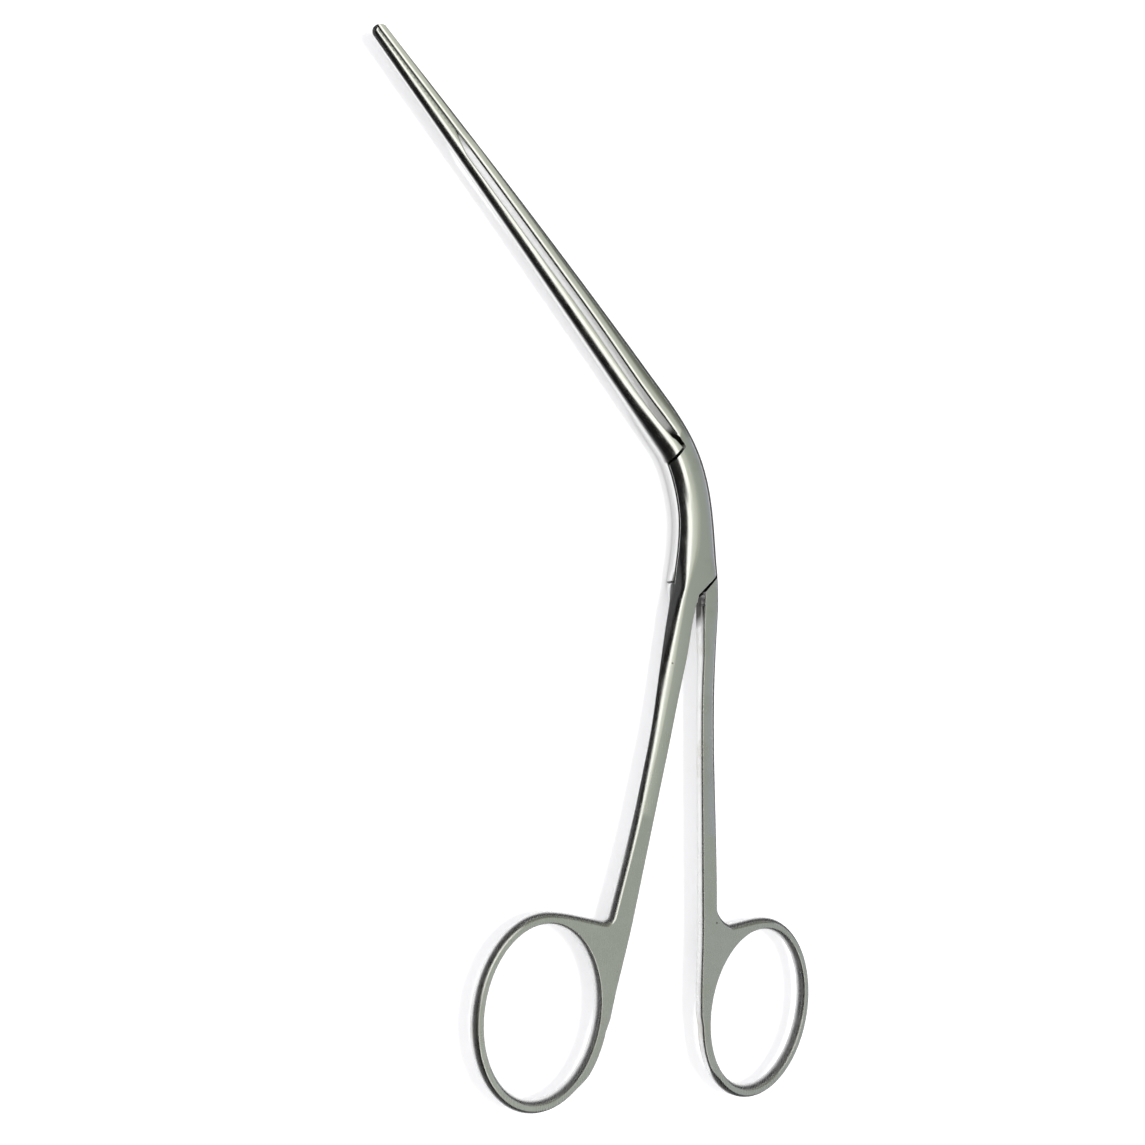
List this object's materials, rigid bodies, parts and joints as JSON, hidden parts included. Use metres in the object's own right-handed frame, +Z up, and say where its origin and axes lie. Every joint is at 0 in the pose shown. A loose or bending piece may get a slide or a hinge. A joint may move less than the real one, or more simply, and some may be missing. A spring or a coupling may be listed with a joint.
{
  "type": "nasal dressing forceps",
  "caption": "Steel nasal dressing forceps: long angled jaws with cross serrations at the tips, shouldered lap joint on a flush rivet, slim handles with oval finger rings.",
  "frame": {"origin": "on the pivot's axis, in the flat back of the joint that the forceps lies on", "axes": "+X to the right and +Z up from the surface it lies on; +Y from the finger rings along the handles to the joint; the jaws lean towards -X"},
  "size_m": [0.1075, 0.1683, 0.0052],
  "materials": {
    "lever_steel": "satin",
    "rivet_steel": "polished flush"
  },
  "bodies": {
    "front": {"front_lever": "lever_steel", "pivot_rivet": "rivet_steel"},
    "rear": {"rear_lever": "lever_steel"}
  },
  "joints": [
    {"name": "pivot", "type": "hinge", "parent": "front", "child": "rear", "pos_m": [0, 0, 0.0026], "axis": [0, 0, 1], "range_deg": [0, 30]}
  ]
}
